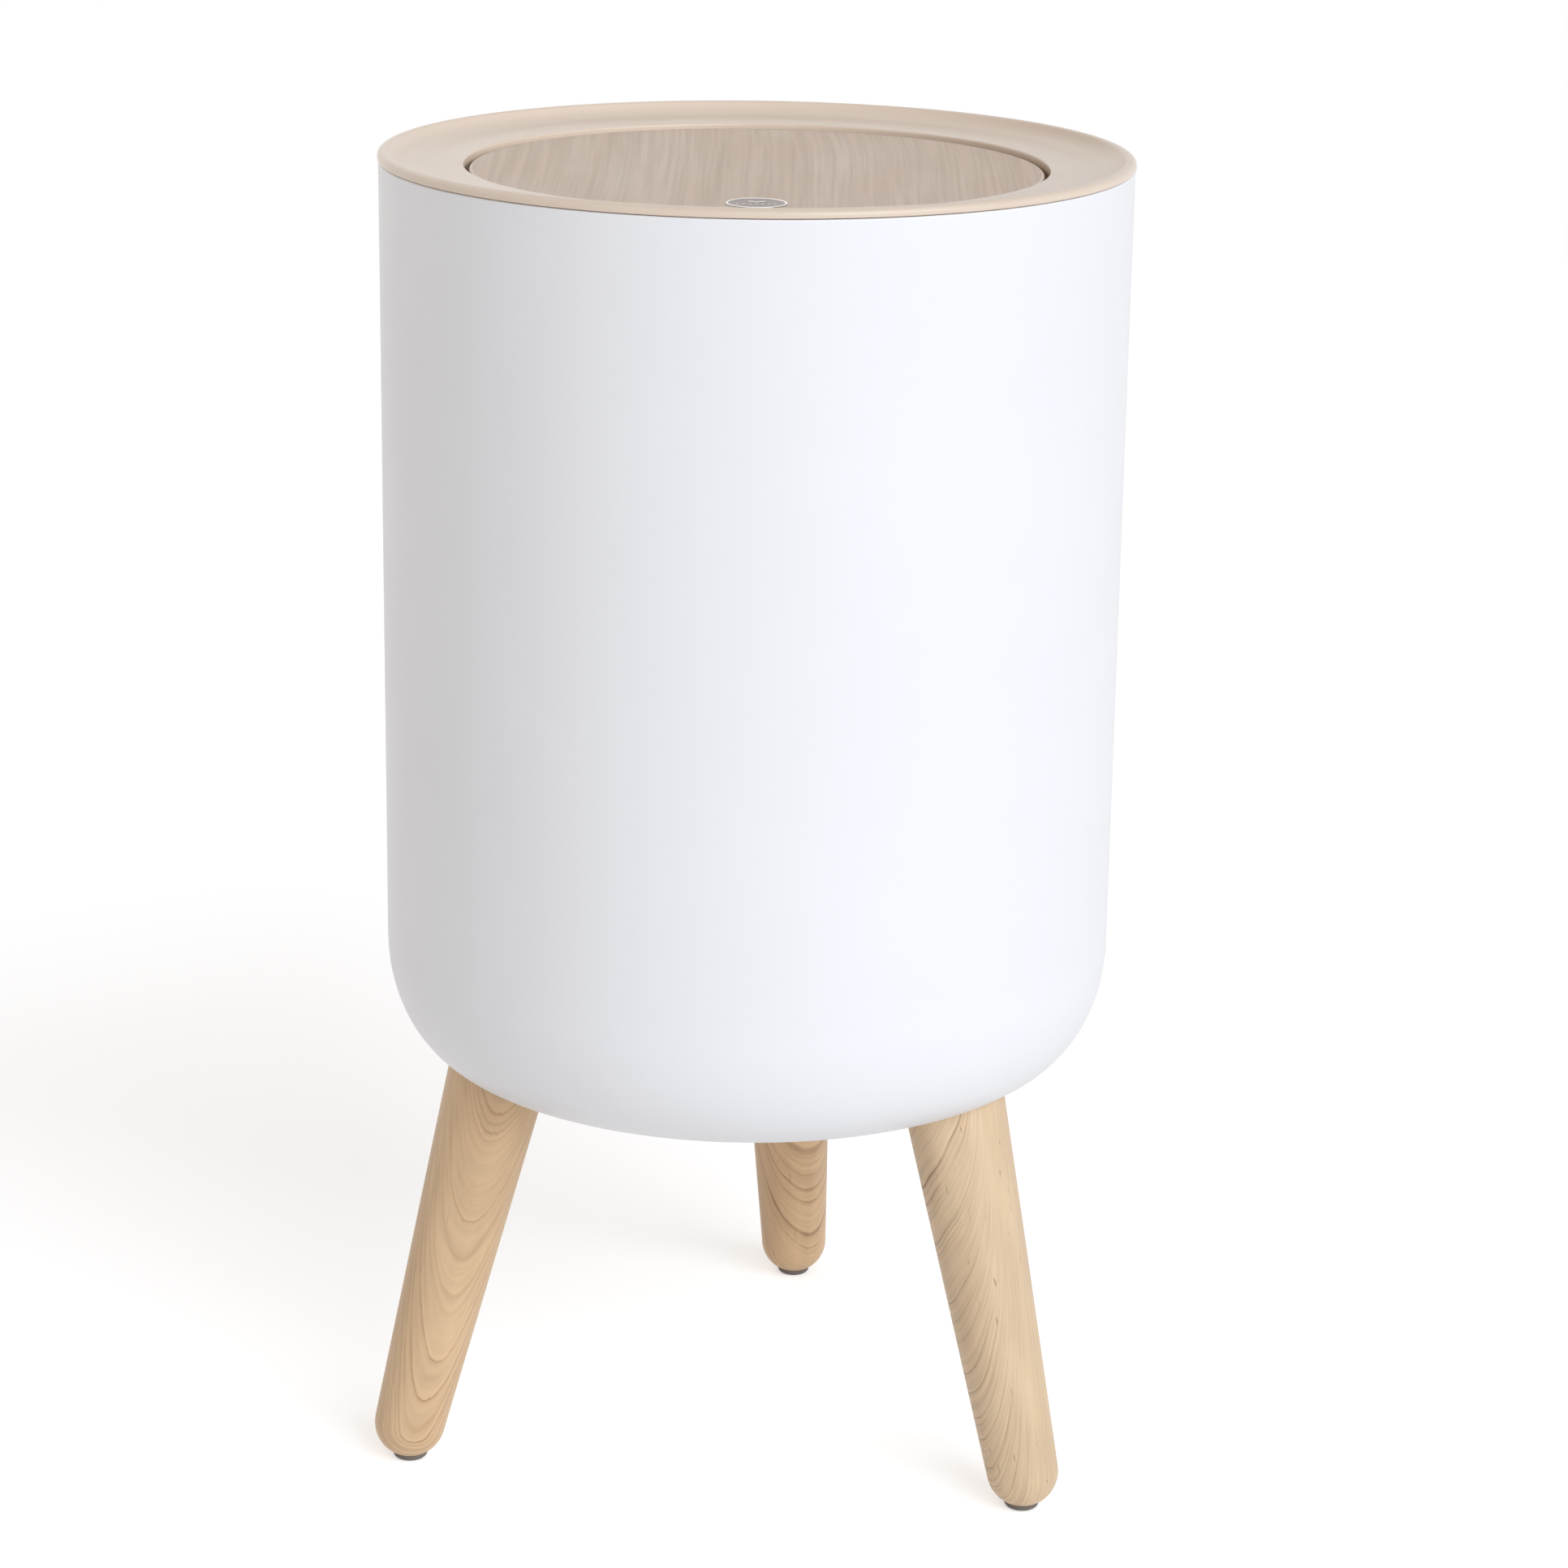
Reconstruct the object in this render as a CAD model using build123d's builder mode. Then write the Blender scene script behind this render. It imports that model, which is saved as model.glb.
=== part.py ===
from build123d import *
from math import asin, cos, degrees, pi, radians, sin, tan
import os

# Swing-lid bin on three splayed legs.
# Millimetres. The floor is Z = 0, the bin's axis is Z, and the front with the push badge faces -Y.

# Outer shell
height = 434.0
shell_radius = 119.7
shell_wall = 2.6
shell_underside = 135.3
corner_drop = 39.0
corner_inset = 26.0
mouth_edge_round = 0.6
ledge_drop = 20.3
ledge_reach = 4.0
ledge_thickness = 2.5

# Clearances
joint_gap = 0.3
skirt_gap = 0.4
lift_gap = 0.6
seat_gap = 0.05
running_gap = 0.05
side_play = 0.5

# Legs, each measured along its own axis from where that axis meets the floor
leg_azimuths = {"left": -69.0, "right": 51.0, "rear": 171.0}
leg_stance = 2.6
leg_splay = 14.65
leg_radius = 11.3
leg_taper_angle = 2.16
foot_lift = 0.8
socket_depth = 8.0
socket_wall = 2.4
stud_radius = 3.0
stud_in_leg = 24.0
stud_in_insert = 11.0
insert_wall = 1.5
insert_length = 13.0
boss_wall = 3.0
pad_radius = 5.75
pad_height = 5.0
pad_edge_round = 1.8

# Bucket
bucket_wall = 1.8
bucket_floor = 2.0
bucket_clearance = 6.0
bucket_taper = 10.0
bucket_corner = 16.0
bucket_rim = 2.0

# Lid ring
ring_overhang = 0.3
ring_width = 27.1
ring_edge = 2.8
crown_width = 2.6
crown_height = 0.9
crest_round = 1.2
slope_angle = 55.0
dish_radius = 10.0
ring_wall = 2.4
lip_drop = 4.4
lip_round = 1.5
lip_depth = 1.6
skirt_wall = 2.0
skirt_depth = 12.5
collar_step = 0.6
collar_wall = 2.2
rib_count = 12
rib_wall = 1.4

# Lid
lid_drop = 5.9
lid_gap = 1.7
panel_thickness = 2.4
panel_edge_round = 0.9
veneer_margin = 1.0
veneer_thickness = 0.3
tray_inset = 1.0
tray_depth = 21.0
tray_wall = 2.0
tray_corner = 7.0

# Pivots and stops
pivot_drop = 10.0
swing_limit = 80.0
pin_radius = 2.5
pin_stub = 2.5
hub_radius = 5.0
hub_inside = 11.4
lug_thickness = 6.0
lug_radius = 10.0
bush_wall = 1.65
bush_flange = 1.0
bush_flange_radius = 5.8
pin_head_radius = 4.2
pin_head_height = 1.5
clip_radius = 5.0
clip_thickness = 0.6
fin_reach = 9.5
fin_thickness = 3.0
peg_radius = 2.0
peg_orbit = 8.0
peg_length = 1.5

# Badge
badge_radius = 9.4
badge_margin = 10.3
badge_sink = 0.6
badge_rise = 0.35
badge_rim = 0.7
badge_rim_inset = 0.25

# Counterweight and screws
weight_radius = 32.0
weight_thickness = 7.0
weight_screw_margin = 12.0
weight_screw_count = 3
weight_screw_radius = 2.0
weight_screw_grip = 5.0
tray_screw_margin = 24.4
tray_screw_count = 4
tray_screw_radius = 1.5
post_radius = 4.0
tray_boss_radius = 5.6
tray_boss_height = 3.2
screw_head_radius = 3.4
screw_head_height = 1.9
steel_density = 7.85
aluminium_density = 2.70

# Places worked out from the sizes above
shell_top = height - ring_edge - joint_gap
shell_inner = shell_radius - shell_wall
ledge_height = shell_top - ledge_drop
ring_radius = shell_radius + ring_overhang
mouth_radius = ring_radius - ring_width
leg_reach = shell_radius + leg_stance
lid_top = height - lid_drop
lid_radius = mouth_radius - lid_gap
pivot_height = lid_top - pivot_drop
collar_inner = mouth_radius + collar_step
hub_end = collar_inner - side_play
panel_underside = lid_top - panel_thickness
tray_radius = lid_radius - tray_inset
tray_underside = lid_top - tray_depth
tray_floor_top = tray_underside + tray_wall
hub_inner_end = tray_radius - tray_wall - hub_inside
pin_inner_end = hub_inner_end - pin_stub
badge_front = lid_radius - badge_margin - badge_radius
weight_screw_circle = weight_radius - weight_screw_margin
tray_screw_circle = tray_radius - tray_wall - tray_screw_margin
splay = radians(leg_splay)
taper = radians(leg_taper_angle)
leg_growth = tan(taper)
insert_radius = stud_radius + seat_gap + insert_wall

os.makedirs("parts", exist_ok=True)


def leg_frame(azimuth):
    """Frame of one leg: origin where its axis meets the floor, X outwards, Z up along the leg."""
    turn = radians(azimuth)
    outward = Vector(sin(turn), -cos(turn), 0)
    along = Vector(0, 0, cos(splay)) - outward * sin(splay)
    across = outward * cos(splay) + Vector(0, 0, sin(splay))
    return Plane(origin=outward * leg_reach, x_dir=across, z_dir=along)


def section_plane(frame):
    """Plane through a frame's X and Z axes, for a profile that is revolved about its Z axis."""
    return Plane(origin=frame.origin, x_dir=frame.x_dir, z_dir=-frame.y_dir)


def frame_axis(frame):
    return Axis(frame.origin, frame.z_dir)


def radius_along_leg(distance):
    return leg_radius + leg_growth * distance


# The foot is a ball that runs tangent into the taper, and stands foot_lift above the floor
foot_distance = (foot_lift + leg_radius) / (cos(splay) - leg_growth)
foot_radius = radius_along_leg(foot_distance) * cos(taper)

# The leg's top face is square to its axis and sits on the floor of the socket
leg_length = (shell_underside + socket_depth) / cos(splay)
boss_length = leg_length + insert_length + boss_wall
boss_radius = insert_radius + seat_gap + boss_wall
bosses_top = boss_length * cos(splay) + boss_radius * sin(splay)
bucket_underside = bosses_top + bucket_clearance


def shell_outline(inset, top):
    """Closed half profile of the shell's outside, or of its inside when inset is the wall."""
    radius = shell_radius - inset
    corner = (radius - corner_inset + inset, shell_underside + corner_drop)
    with BuildLine() as outline:
        Line((0, shell_underside + inset), (corner[0], shell_underside + inset))
        EllipticalCenterArc(corner, corner_inset - inset, corner_drop - inset, start_angle=-90, arc_size=90)
        Line((radius, corner[1]), (radius, top))
        Line((radius, top), (0, top))
        Line((0, top), (0, shell_underside + inset))
    return outline.line


# Space inside the shell: the hollow, less the three leg bosses and the ledge that carries the bucket
with BuildPart() as shell_space:
    with BuildSketch(Plane.XZ) as space_section:
        add(shell_outline(shell_wall, shell_top + 1))
        make_face()
        with BuildLine():
            Polyline(
                (shell_inner + 1, ledge_height),
                (shell_inner - ledge_reach, ledge_height),
                (shell_inner - ledge_reach, ledge_height - ledge_thickness),
                (shell_inner, ledge_height - ledge_thickness - ledge_reach),
                (shell_inner + 1, ledge_height - ledge_thickness - ledge_reach),
                close=True,
            )
        make_face(mode=Mode.SUBTRACT)
    revolve(axis=Axis.Z)
    for azimuth in leg_azimuths.values():
        frame = leg_frame(azimuth)
        wall_start = leg_length - 3 * socket_depth
        with BuildSketch(section_plane(frame)):
            with BuildLine():
                Polyline(
                    (0, wall_start),
                    (radius_along_leg(wall_start) + skirt_gap + socket_wall, wall_start),
                    (radius_along_leg(leg_length) + skirt_gap + socket_wall, leg_length + socket_wall),
                    (boss_radius, leg_length + socket_wall),
                    (boss_radius, boss_length),
                    (0, boss_length),
                    close=True,
                )
            make_face()
        revolve(axis=frame_axis(frame), mode=Mode.SUBTRACT)

with BuildPart() as outer_shell:
    with BuildSketch(Plane.XZ) as shell_section:
        add(shell_outline(0, shell_top))
        make_face()
    revolve(axis=Axis.Z)
    add(shell_space.part, mode=Mode.SUBTRACT)
    for azimuth in leg_azimuths.values():
        frame = leg_frame(azimuth)
        with BuildSketch(section_plane(frame)):
            with BuildLine():
                Polyline(
                    (0, 0),
                    (radius_along_leg(0) + skirt_gap, 0),
                    (radius_along_leg(leg_length) + skirt_gap, leg_length),
                    (insert_radius + seat_gap, leg_length),
                    (insert_radius + seat_gap, leg_length + insert_length),
                    (0, leg_length + insert_length),
                    close=True,
                )
            make_face()
        revolve(axis=frame_axis(frame), mode=Mode.SUBTRACT)
    mouth_edges = outer_shell.edges().filter_by(GeomType.CIRCLE).group_by(Axis.Z)[-1]
    fillet(mouth_edges, mouth_edge_round)
outer_shell.part.label = "outer_shell"
export_step(outer_shell.part, "parts/outer_shell.step")

# Legs, with a blind hole for the stud and a flat-bottomed pocket for the pad
for side, azimuth in leg_azimuths.items():
    frame = leg_frame(azimuth)
    foot_place = frame.from_local_coords((0, 0, foot_distance))
    tangent_point = (foot_radius * cos(taper), foot_distance - foot_radius * sin(taper))
    with BuildPart() as leg:
        with BuildSketch(section_plane(frame)):
            with BuildLine():
                CenterArc((0, foot_distance), foot_radius, -90, 90 - degrees(taper))
                Line(tangent_point, (radius_along_leg(leg_length), leg_length))
                Line((radius_along_leg(leg_length), leg_length), (0, leg_length))
                Line((0, leg_length), (0, foot_distance - foot_radius))
            make_face()
        revolve(axis=frame_axis(frame))
        with BuildSketch(Plane(origin=frame.from_local_coords((0, 0, leg_length)), z_dir=-frame.z_dir)):
            Circle(stud_radius + seat_gap)
        extrude(amount=stud_in_leg + boss_wall, mode=Mode.SUBTRACT)
        with BuildSketch(Plane((foot_place.X, foot_place.Y, 0))):
            Circle(pad_radius + seat_gap)
        extrude(amount=pad_height, mode=Mode.SUBTRACT)
    leg.part.label = "leg_" + side
    export_step(leg.part, "parts/leg_" + side + ".step")

    with BuildPart() as foot_pad:
        with BuildSketch(Plane((foot_place.X, foot_place.Y, 0))):
            Circle(pad_radius)
        extrude(amount=pad_height)
        fillet(foot_pad.edges().group_by(Axis.Z)[0], pad_edge_round)
    foot_pad.part.label = "foot_pad_" + side
    export_step(foot_pad.part, "parts/foot_pad_" + side + ".step")

# Studs and threaded inserts, one set in each leg and boss
with BuildPart() as leg_studs:
    for azimuth in leg_azimuths.values():
        frame = leg_frame(azimuth)
        stud_start = frame.from_local_coords((0, 0, leg_length - stud_in_leg))
        with BuildSketch(Plane(origin=stud_start, z_dir=frame.z_dir)):
            Circle(stud_radius)
        extrude(amount=stud_in_leg + stud_in_insert)
leg_studs.part.label = "leg_studs"
export_step(leg_studs.part, "parts/leg_studs.step")

with BuildPart() as leg_inserts:
    for azimuth in leg_azimuths.values():
        frame = leg_frame(azimuth)
        with BuildSketch(Plane(origin=frame.from_local_coords((0, 0, leg_length)), z_dir=frame.z_dir)):
            Circle(insert_radius)
            Circle(stud_radius + seat_gap, mode=Mode.SUBTRACT)
        extrude(amount=insert_length)
leg_inserts.part.label = "leg_inserts"
export_step(leg_inserts.part, "parts/leg_inserts.step")

# Bucket: a tapered liner whose rim hangs on the ledge
bucket_seat = ledge_height + joint_gap
bucket_rim_radius = shell_inner - lift_gap
bucket_top_radius = shell_inner - ledge_reach - lift_gap
bucket_base_radius = bucket_top_radius - bucket_taper


def bucket_outline(inset, floor_height, top):
    with BuildLine() as outline:
        base = Line((0, floor_height), (bucket_base_radius - inset, floor_height))
        side = Line(base @ 1, (bucket_top_radius - inset, top))
        Line(side @ 1, (0, top))
        Line((0, top), (0, floor_height))
    return outline.line


with BuildPart() as inner_bucket:
    with BuildSketch(Plane.XZ) as bucket_body:
        add(bucket_outline(0, bucket_underside, bucket_seat + bucket_rim))
        make_face()
        outer_corner = bucket_body.vertices().group_by(Axis.Y)[0].sort_by(Axis.X)[-1]
        fillet(outer_corner, bucket_corner)
    with BuildSketch(Plane.XZ) as bucket_flange:
        with Locations((bucket_top_radius - bucket_wall, bucket_seat)):
            Rectangle(
                bucket_rim_radius - bucket_top_radius + bucket_wall,
                bucket_rim,
                align=(Align.MIN, Align.MIN),
            )
    revolve(axis=Axis.Z)
    with BuildSketch(Plane.XZ) as bucket_hollow:
        add(bucket_outline(bucket_wall, bucket_underside + bucket_floor, bucket_seat + bucket_rim))
        make_face()
        inner_corner = bucket_hollow.vertices().group_by(Axis.Y)[0].sort_by(Axis.X)[-1]
        fillet(inner_corner, bucket_corner - bucket_wall)
    revolve(axis=Axis.Z, mode=Mode.SUBTRACT)
    rim_edges = inner_bucket.edges().filter_by(GeomType.CIRCLE).group_by(Axis.Z)[-1]
    fillet(rim_edges.sort_by(SortBy.RADIUS)[-1], bucket_rim / 3)
inner_bucket.part.label = "inner_bucket"
export_step(inner_bucket.part, "parts/inner_bucket.step")

# Lid ring: dished top with crest and rolled lip, collar round the mouth, skirt inside the shell's mouth
slope = radians(slope_angle)
crest = (ring_radius - crown_width, height)
crest_centre = (crest[0], height - crest_round)
slope_start = (crest[0] - crest_round * sin(slope), height - crest_round + crest_round * cos(slope))
dish_centre = (slope_start[0] - dish_radius * sin(slope), slope_start[1] + dish_radius * cos(slope))
dish_bottom = (dish_centre[0], dish_centre[1] - dish_radius)
lip_top = (mouth_radius + lip_round, height - lip_drop)
lip_foot = height - lip_drop - lip_round - lip_depth
skirt_outer = shell_inner - skirt_gap
skirt_inner = skirt_outer - skirt_wall
skirt_foot = height - ring_edge - skirt_depth
under_radius = dish_radius + ring_wall
under_angle = asin((skirt_inner - dish_centre[0]) / under_radius)
under_end = (skirt_inner, dish_centre[1] - under_radius * cos(under_angle))
collar_outer = collar_inner + collar_wall
collar_foot = pivot_height + hub_radius - side_play
collar_top = (collar_outer, height - lip_drop - ring_wall)
rib_foot = skirt_foot + skirt_depth / 3

with BuildPart() as lid_frame:
    with BuildSketch(Plane.XZ) as ring_section:
        with BuildLine():
            Line((skirt_outer, height - ring_edge), (ring_radius, height - ring_edge))
            Line((ring_radius, height - ring_edge), (ring_radius, height - crown_height))
            EllipticalCenterArc(
                (crest[0], height - crown_height), crown_width, crown_height, start_angle=0, arc_size=90
            )
            CenterArc(crest_centre, crest_round, 90, slope_angle)
            CenterArc(dish_centre, dish_radius, slope_angle - 90, -slope_angle)
            Line(dish_bottom, lip_top)
            CenterArc((lip_top[0], lip_top[1] - lip_round), lip_round, 90, 90)
            Line((mouth_radius, lip_top[1] - lip_round), (mouth_radius, lip_foot))
            Line((mouth_radius, lip_foot), (collar_inner, lip_foot))
            Line((collar_inner, lip_foot), (collar_inner, collar_foot))
            Line((collar_inner, collar_foot), (collar_outer, collar_foot))
            Line((collar_outer, collar_foot), collar_top)
            Line(collar_top, (dish_bottom[0], dish_bottom[1] - ring_wall))
            CenterArc(dish_centre, under_radius, -90, degrees(under_angle))
            Line(under_end, (skirt_inner, skirt_foot))
            Line((skirt_inner, skirt_foot), (skirt_outer, skirt_foot))
            Line((skirt_outer, skirt_foot), (skirt_outer, height - ring_edge))
        make_face()
    revolve(axis=Axis.Z)
    # Ribs between the collar and the skirt, their tops inside the dish's wall
    rib_middle = ring_wall / 2
    for number in range(rib_count):
        rib_turn = 360 / rib_count * (number + 0.5)
        with BuildSketch(Plane.XZ.rotated((0, 0, rib_turn))):
            with BuildLine():
                Polyline(
                    (collar_outer - collar_wall / 2, rib_foot),
                    (skirt_inner + skirt_wall / 2, rib_foot),
                    (skirt_inner + skirt_wall / 2, under_end[1] + rib_middle),
                    (dish_bottom[0] + dish_radius / 4, dish_bottom[1] - rib_middle),
                    (collar_outer - collar_wall / 2, collar_top[1] + rib_middle),
                    close=True,
                )
            make_face()
        extrude(amount=rib_wall / 2, both=True)
    # Bearing lugs at both sides of the mouth, each with two gussets and two stop pegs
    peg_angle = radians(swing_limit) + asin((fin_thickness / 2 + peg_radius + joint_gap) / peg_orbit)
    for side in (-1, 1):
        lug_plane = Plane(origin=(side * collar_inner, 0, pivot_height), x_dir=(0, 1, 0), z_dir=(side, 0, 0))
        lug_top = side * (collar_top[1] + rib_middle - pivot_height)
        with BuildSketch(lug_plane):
            Circle(lug_radius)
            with Locations((0, lug_top / 2)):
                Rectangle(2 * lug_radius, abs(lug_top))
        extrude(amount=lug_thickness)
        for edge in (-1, 1):
            gusset_start = Plane.XZ.offset(edge * (lug_radius - collar_wall / 2))
            with BuildSketch(gusset_start):
                with BuildLine():
                    Polyline(
                        (side * (collar_inner + 1), pivot_height - lug_radius / 3),
                        (side * (collar_inner + lug_thickness), pivot_height - lug_radius / 3),
                        (side * (skirt_inner + skirt_wall / 2), rib_foot),
                        (side * (skirt_inner + skirt_wall / 2), under_end[1] + rib_middle),
                        (side * (dish_bottom[0] + dish_radius / 4), dish_bottom[1] - rib_middle),
                        (side * (collar_inner + 1), collar_top[1] + rib_middle),
                        close=True,
                    )
                make_face()
            extrude(amount=collar_wall / 2, both=True)
            with BuildSketch(lug_plane):
                with Locations((edge * peg_orbit * sin(peg_angle), -side * peg_orbit * cos(peg_angle))):
                    Circle(peg_radius)
            extrude(amount=-peg_length)
        with BuildSketch(lug_plane):
            Circle(pin_radius + running_gap + bush_wall + seat_gap)
        extrude(amount=lug_thickness, mode=Mode.SUBTRACT)
lid_frame.part.label = "lid_frame"
export_step(lid_frame.part, "parts/lid_frame.step")

# Panel, veneer and badge. The badge sits in a round recess that goes through the veneer into the panel
veneer_radius = lid_radius - veneer_margin
badge_foot = lid_top - veneer_thickness - badge_sink
badge_place = (0, -badge_front)
post_foot = tray_floor_top + tray_boss_height

with BuildPart() as lid_panel:
    with BuildSketch(Plane.XY.offset(panel_underside)):
        Circle(lid_radius)
    extrude(amount=panel_thickness)
    fillet(lid_panel.edges().group_by(Axis.Z)[-1], panel_edge_round)
    with BuildSketch(Plane.XY.offset(lid_top - veneer_thickness)):
        Circle(veneer_radius + seat_gap)
    extrude(amount=veneer_thickness, mode=Mode.SUBTRACT)
    with BuildSketch(Plane.XY.offset(badge_foot)):
        with Locations(badge_place):
            Circle(badge_radius + seat_gap)
    extrude(amount=badge_sink + veneer_thickness, mode=Mode.SUBTRACT)
    with BuildSketch(Plane.XY.offset(post_foot)):
        with PolarLocations(tray_screw_circle, tray_screw_count, start_angle=45):
            Circle(post_radius)
            Circle(tray_screw_radius + seat_gap, mode=Mode.SUBTRACT)
    extrude(amount=panel_underside - post_foot)
lid_panel.part.label = "lid_panel"
export_step(lid_panel.part, "parts/lid_panel.step")

with BuildPart() as lid_veneer:
    with BuildSketch(Plane.XY.offset(lid_top - veneer_thickness)):
        Circle(veneer_radius)
        with Locations(badge_place):
            Circle(badge_radius + seat_gap, mode=Mode.SUBTRACT)
    extrude(amount=veneer_thickness)
lid_veneer.part.label = "lid_veneer"
export_step(lid_veneer.part, "parts/lid_veneer.step")

with BuildPart() as push_badge:
    with BuildSketch(Plane.XY.offset(badge_foot)):
        with Locations(badge_place):
            Circle(badge_radius)
    extrude(amount=lid_top + badge_rise - badge_foot)
    with BuildSketch(Plane.XY.offset(lid_top + badge_rise)):
        with Locations(badge_place):
            Circle(badge_radius - badge_rim_inset - badge_rim)
    extrude(amount=-badge_rise / 2, mode=Mode.SUBTRACT)
    fillet(push_badge.edges().group_by(Axis.Z)[-1].sort_by(SortBy.RADIUS)[-1], badge_rim_inset / 2)
push_badge.part.label = "push_badge"
export_step(push_badge.part, "parts/push_badge.step")

# Tray: the lid's closed underside, with a hub and a stop fin at each side
with BuildPart() as lid_tray:
    with BuildSketch(Plane.XZ) as tray_section:
        with Locations((0, tray_underside)):
            Rectangle(tray_radius, panel_underside - tray_underside, align=(Align.MIN, Align.MIN))
        fillet(tray_section.vertices().group_by(Axis.Y)[0].sort_by(Axis.X)[-1], tray_corner)
    revolve(axis=Axis.Z)
    with BuildSketch(Plane.XZ) as tray_hollow:
        with Locations((0, tray_floor_top)):
            Rectangle(tray_radius - tray_wall, panel_underside - tray_floor_top, align=(Align.MIN, Align.MIN))
        fillet(tray_hollow.vertices().group_by(Axis.Y)[0].sort_by(Axis.X)[-1], tray_corner - tray_wall)
    revolve(axis=Axis.Z, mode=Mode.SUBTRACT)
    with BuildSketch(Plane.XY.offset(tray_underside)):
        with PolarLocations(tray_screw_circle, tray_screw_count, start_angle=45):
            Circle(tray_boss_radius)
    extrude(amount=post_foot - tray_underside)
    for side in (-1, 1):
        hub_plane = Plane(origin=(side * hub_inner_end, 0, pivot_height), x_dir=(0, 1, 0), z_dir=(side, 0, 0))
        with BuildSketch(hub_plane):
            Circle(hub_radius)
        extrude(amount=hub_end - hub_inner_end)
        with BuildSketch(hub_plane.offset(tray_radius - tray_wall / 2 - hub_inner_end)):
            with Locations((0, -side * fin_reach / 2)):
                Rectangle(fin_thickness, fin_reach)
        extrude(amount=hub_end - tray_radius + tray_wall / 2)
        with BuildSketch(hub_plane):
            Circle(pin_radius + seat_gap)
        extrude(amount=hub_end - hub_inner_end, mode=Mode.SUBTRACT)
    with BuildSketch(Plane.XY.offset(tray_underside)):
        with PolarLocations(tray_screw_circle, tray_screw_count, start_angle=45):
            Circle(tray_screw_radius + seat_gap)
        with PolarLocations(weight_screw_circle, weight_screw_count, start_angle=90):
            Circle(weight_screw_radius + seat_gap)
    extrude(amount=post_foot - tray_underside, mode=Mode.SUBTRACT)
    with BuildSketch(Plane.XY.offset(tray_underside)):
        with PolarLocations(tray_screw_circle, tray_screw_count, start_angle=45):
            Circle(screw_head_radius + skirt_gap)
    extrude(amount=screw_head_height + joint_gap, mode=Mode.SUBTRACT)
lid_tray.part.label = "lid_tray"
export_step(lid_tray.part, "parts/lid_tray.step")

# Counterweight, moved back a little so that it also balances the badge at the front
badge_mass = pi * badge_radius**2 * (lid_top + badge_rise - badge_foot) * aluminium_density
weight_mass = pi * weight_radius**2 * weight_thickness * steel_density
weight_shift = badge_mass * badge_front / weight_mass

with BuildPart() as counterweight:
    with BuildSketch(Plane.XY.offset(tray_floor_top)):
        with Locations((0, weight_shift)):
            Circle(weight_radius)
    extrude(amount=weight_thickness)
    with BuildSketch(Plane.XY.offset(tray_floor_top)):
        with PolarLocations(weight_screw_circle, weight_screw_count, start_angle=90):
            Circle(weight_screw_radius + seat_gap)
    extrude(amount=weight_screw_grip + joint_gap, mode=Mode.SUBTRACT)
    chamfer(counterweight.faces().sort_by(Axis.Z)[-1].edges(), weight_thickness / 10)
counterweight.part.label = "counterweight"
export_step(counterweight.part, "parts/counterweight.step")

with BuildPart() as weight_screws:
    with BuildSketch(Plane.XY.offset(tray_underside)):
        with PolarLocations(weight_screw_circle, weight_screw_count, start_angle=90):
            Circle(screw_head_radius)
    extrude(amount=-screw_head_height)
    fillet(weight_screws.edges().group_by(Axis.Z)[0], screw_head_height / 2)
    with BuildSketch(Plane.XY.offset(tray_underside)):
        with PolarLocations(weight_screw_circle, weight_screw_count, start_angle=90):
            Circle(weight_screw_radius)
    extrude(amount=tray_wall + weight_screw_grip)
weight_screws.part.label = "weight_screws"
export_step(weight_screws.part, "parts/weight_screws.step")

with BuildPart() as tray_screws:
    with BuildSketch(Plane.XY.offset(tray_underside + joint_gap)):
        with PolarLocations(tray_screw_circle, tray_screw_count, start_angle=45):
            Circle(screw_head_radius)
    extrude(amount=screw_head_height)
    fillet(tray_screws.edges().group_by(Axis.Z)[0], screw_head_height / 3)
    with BuildSketch(Plane.XY.offset(tray_underside + joint_gap + screw_head_height)):
        with PolarLocations(tray_screw_circle, tray_screw_count, start_angle=45):
            Circle(tray_screw_radius)
    extrude(amount=panel_underside - tray_underside - screw_head_height - 1)
tray_screws.part.label = "tray_screws"
export_step(tray_screws.part, "parts/tray_screws.step")

# Bushes, pins and the push-on washers inside the tray
for name, side in {"left": -1, "right": 1}.items():
    lug_plane = Plane(origin=(side * collar_inner, 0, pivot_height), z_dir=(side, 0, 0))
    with BuildPart() as pivot_bush:
        with BuildSketch(lug_plane):
            Circle(pin_radius + running_gap + bush_wall)
        extrude(amount=lug_thickness + bush_flange)
        with BuildSketch(lug_plane.offset(lug_thickness)):
            Circle(bush_flange_radius)
        extrude(amount=bush_flange)
        with BuildSketch(lug_plane):
            Circle(pin_radius + running_gap)
        extrude(amount=lug_thickness + bush_flange, mode=Mode.SUBTRACT)
    pivot_bush.part.label = "pivot_bush_" + name
    export_step(pivot_bush.part, "parts/pivot_bush_" + name + ".step")

    pin_plane = Plane(origin=(side * pin_inner_end, 0, pivot_height), z_dir=(side, 0, 0))
    head_start = collar_inner + lug_thickness + bush_flange + joint_gap
    with BuildPart() as pivot_pin:
        with BuildSketch(pin_plane):
            Circle(pin_radius)
        extrude(amount=head_start - pin_inner_end)
        with BuildSketch(pin_plane.offset(head_start - pin_inner_end)):
            Circle(pin_head_radius)
        extrude(amount=pin_head_height)
        pin_edges = pivot_pin.edges().filter_by(GeomType.CIRCLE)
        inner_edge = pin_edges.sort_by(lambda edge: abs(edge.center().X))[0]
        chamfer(inner_edge, pin_radius / 5)
    pivot_pin.part.label = "pivot_pin_" + name
    export_step(pivot_pin.part, "parts/pivot_pin_" + name + ".step")

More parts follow.
